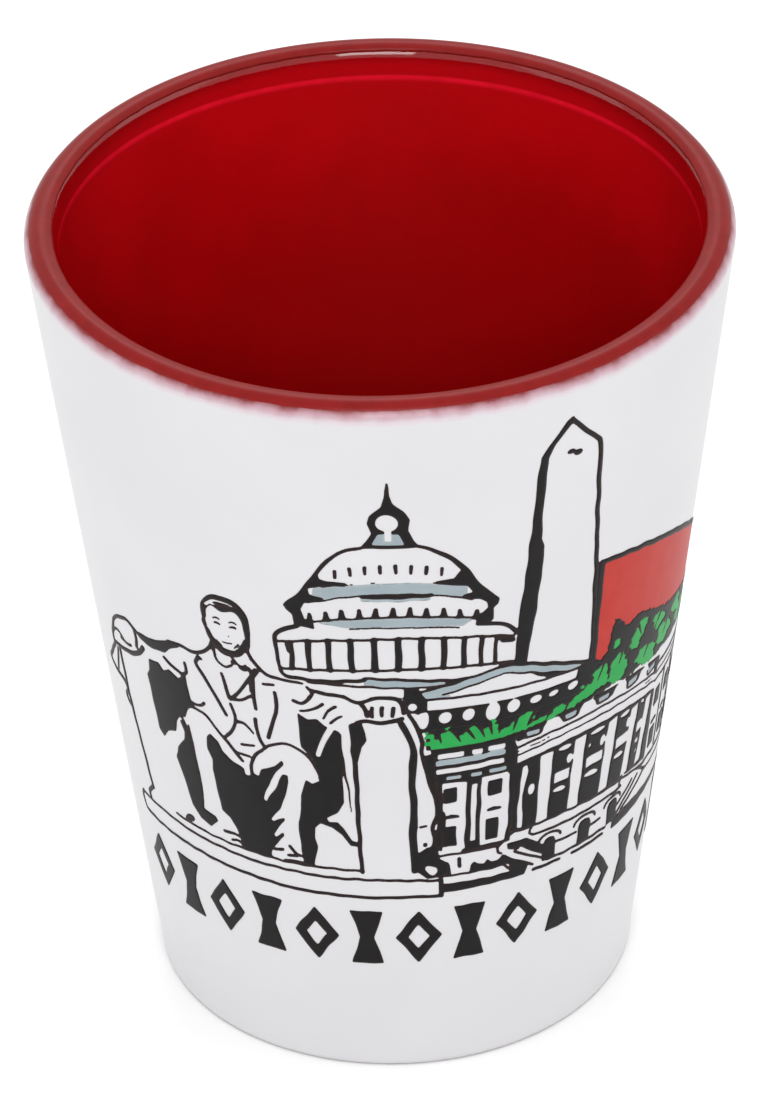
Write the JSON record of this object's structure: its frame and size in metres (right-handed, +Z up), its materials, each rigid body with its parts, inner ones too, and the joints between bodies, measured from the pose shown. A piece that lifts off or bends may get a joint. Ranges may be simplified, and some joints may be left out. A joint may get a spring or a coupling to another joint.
{
  "type": "shot glass",
  "caption": "Tapered shot glass: a clear glass tumbler with a red undercoat, a white topcoat and a printed city scene over a plain ornament band.",
  "frame": {"origin": "on the glass's axis, at the level of the bearing ring that it stands on", "axes": "+Z up along the axis; the middle of the printed scene faces -Y"},
  "size_m": [0.0484, 0.0484, 0.0601],
  "materials": {
    "clear_glass": "clear pressed soda-lime glass, fire polished",
    "red_enamel": "sprayed deep red enamel, glossy through the glass, satin and brown where it goes over the lip",
    "white_enamel": "sprayed white enamel, soft semi-gloss, feathered at its upper edge",
    "black_ink": "screen-printed black ink, satin",
    "green_ink": "screen-printed green ink, satin",
    "red_ink": "screen-printed red ink, satin",
    "tint_ink": "screen-printed pale blue-grey ink, satin"
  },
  "bodies": {
    "root": {"glass_tumbler": "clear_glass", "green_hedge": "green_ink", "ink_arm_block": "black_ink", "ink_bay": "black_ink", "ink_chair_shadow": "black_ink", "ink_cornice": "black_ink", "ink_domed_hall": "black_ink", "ink_far_steps": "black_ink", "ink_figure_outline": "black_ink", "ink_lap_shadow": "black_ink", "ink_ledge": "black_ink", "ink_left_leg_shadow": "black_ink", "ink_left_wing": "black_ink", "ink_obelisk": "black_ink", "ink_ornament_01": "black_ink", "ink_ornament_02": "black_ink", "ink_ornament_03": "black_ink", "ink_ornament_04": "black_ink", "ink_ornament_05": "black_ink", "ink_ornament_06": "black_ink", "ink_ornament_07": "black_ink", "ink_ornament_08": "black_ink", "ink_ornament_09": "black_ink", "ink_ornament_10": "black_ink", "ink_ornament_11": "black_ink", "ink_ornament_12": "black_ink", "ink_ornament_13": "black_ink", "ink_ornament_14": "black_ink", "ink_ornament_15": "black_ink", "ink_ornament_16": "black_ink", "ink_panel_outline": "black_ink", "ink_plinth": "black_ink", "ink_portico": "black_ink", "ink_right_leg_shadow": "black_ink", "ink_right_wing": "black_ink", "ink_terrace": "black_ink", "red_panel": "red_ink", "red_undercoat": "red_enamel", "tint_cornice": "tint_ink", "white_topcoat": "white_enamel"}
  },
  "joints": []
}
